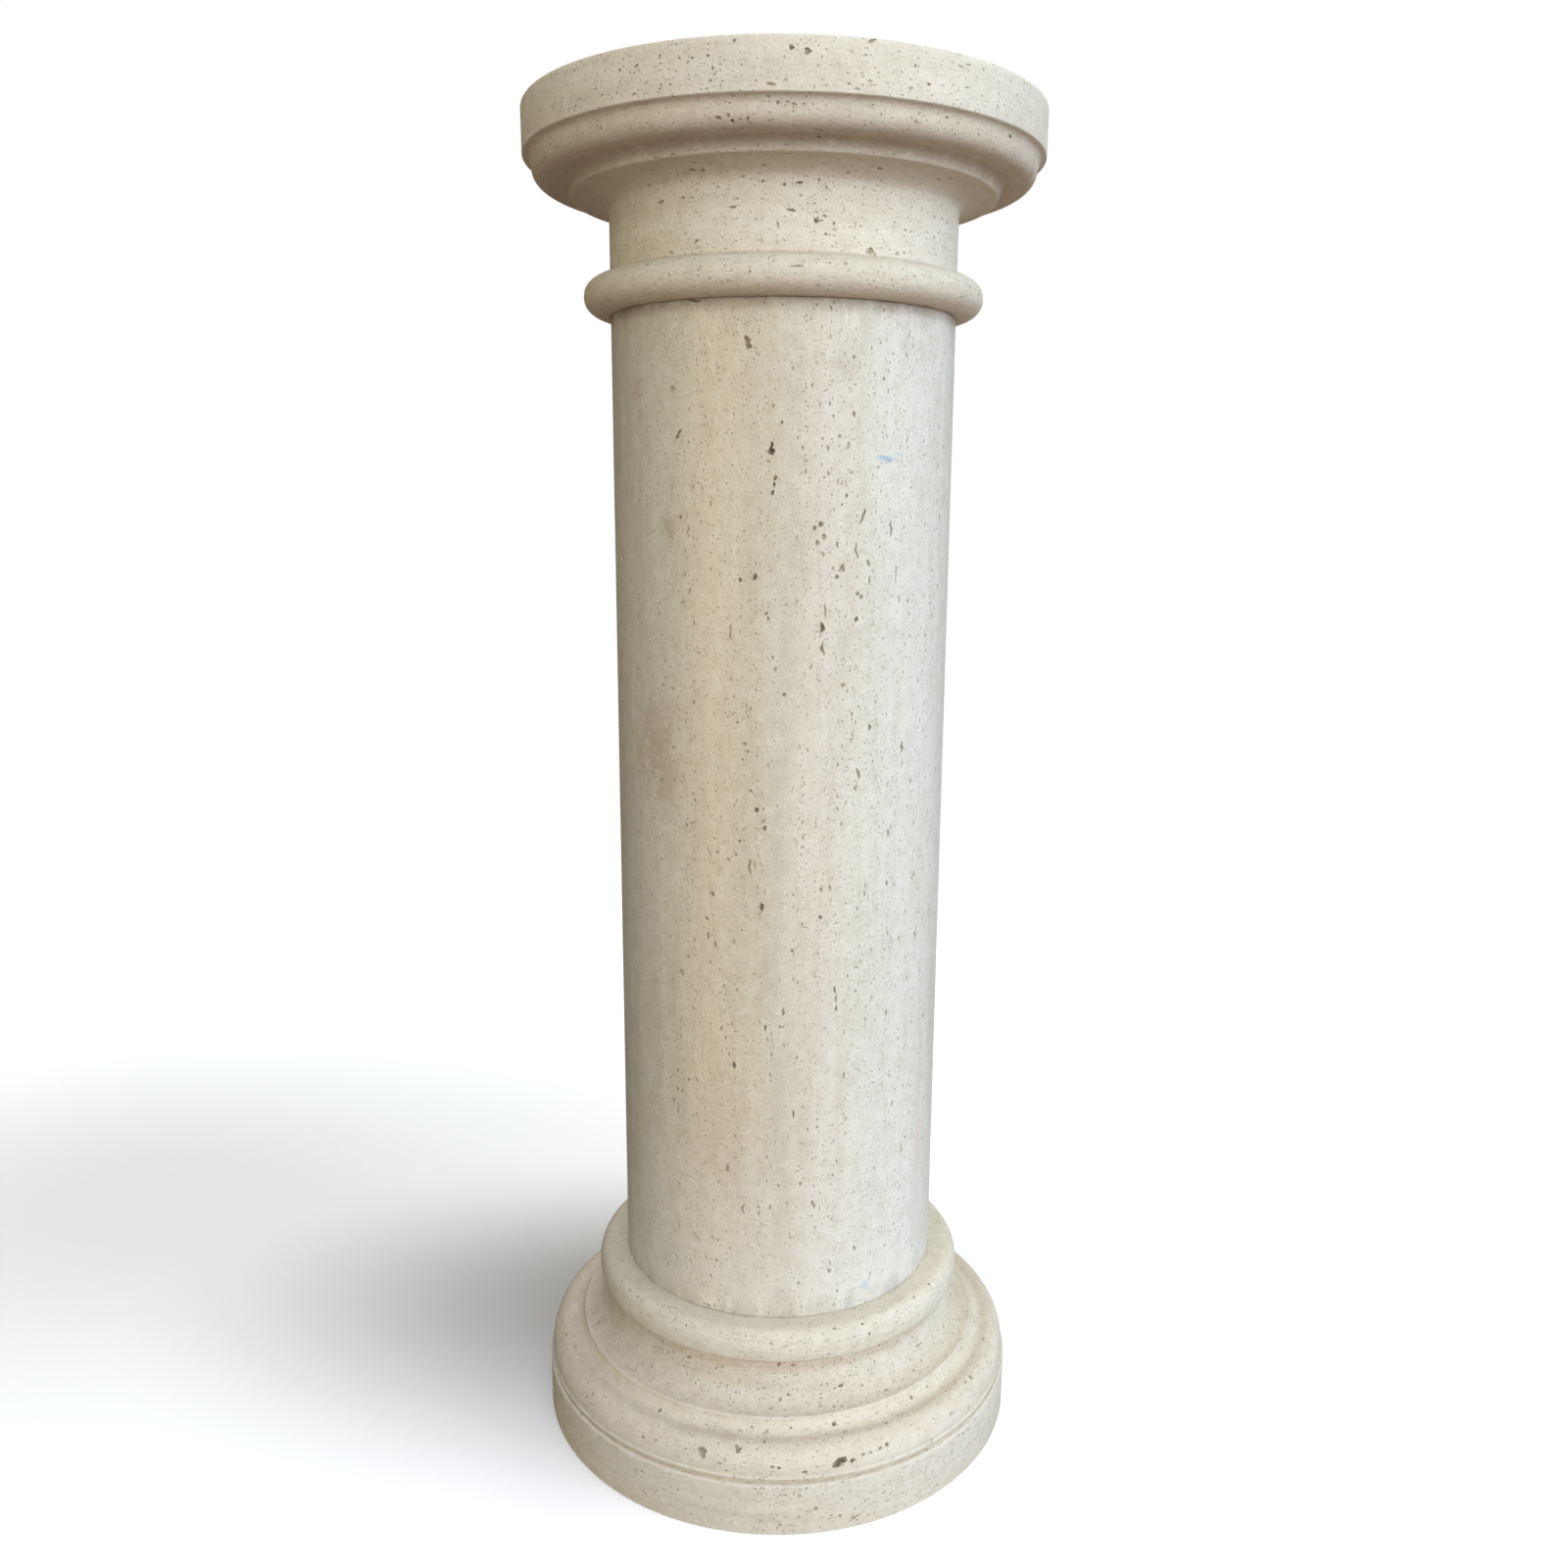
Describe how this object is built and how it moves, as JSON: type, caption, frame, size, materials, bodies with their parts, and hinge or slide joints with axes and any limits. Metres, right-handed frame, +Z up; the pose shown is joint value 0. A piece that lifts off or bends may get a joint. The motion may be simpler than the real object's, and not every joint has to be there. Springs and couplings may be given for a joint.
{
  "type": "tuscan doric column",
  "caption": "Plain round travertine column with a moulded base, a ringed neck and a round abacus, which stands on its underside and carries a load on its flat top.",
  "frame": {"origin": "centre of the plinth's underside, on the ground", "axes": "+Z up along the column's axis; the pictured side faces -Y"},
  "size_m": [0.3824, 0.3824, 1],
  "materials": {
    "travertine": "honed, with open pores and fine bedding streaks"
  },
  "bodies": {
    "root": {"base": "travertine", "shaft": "travertine", "capital": "travertine"}
  },
  "joints": []
}
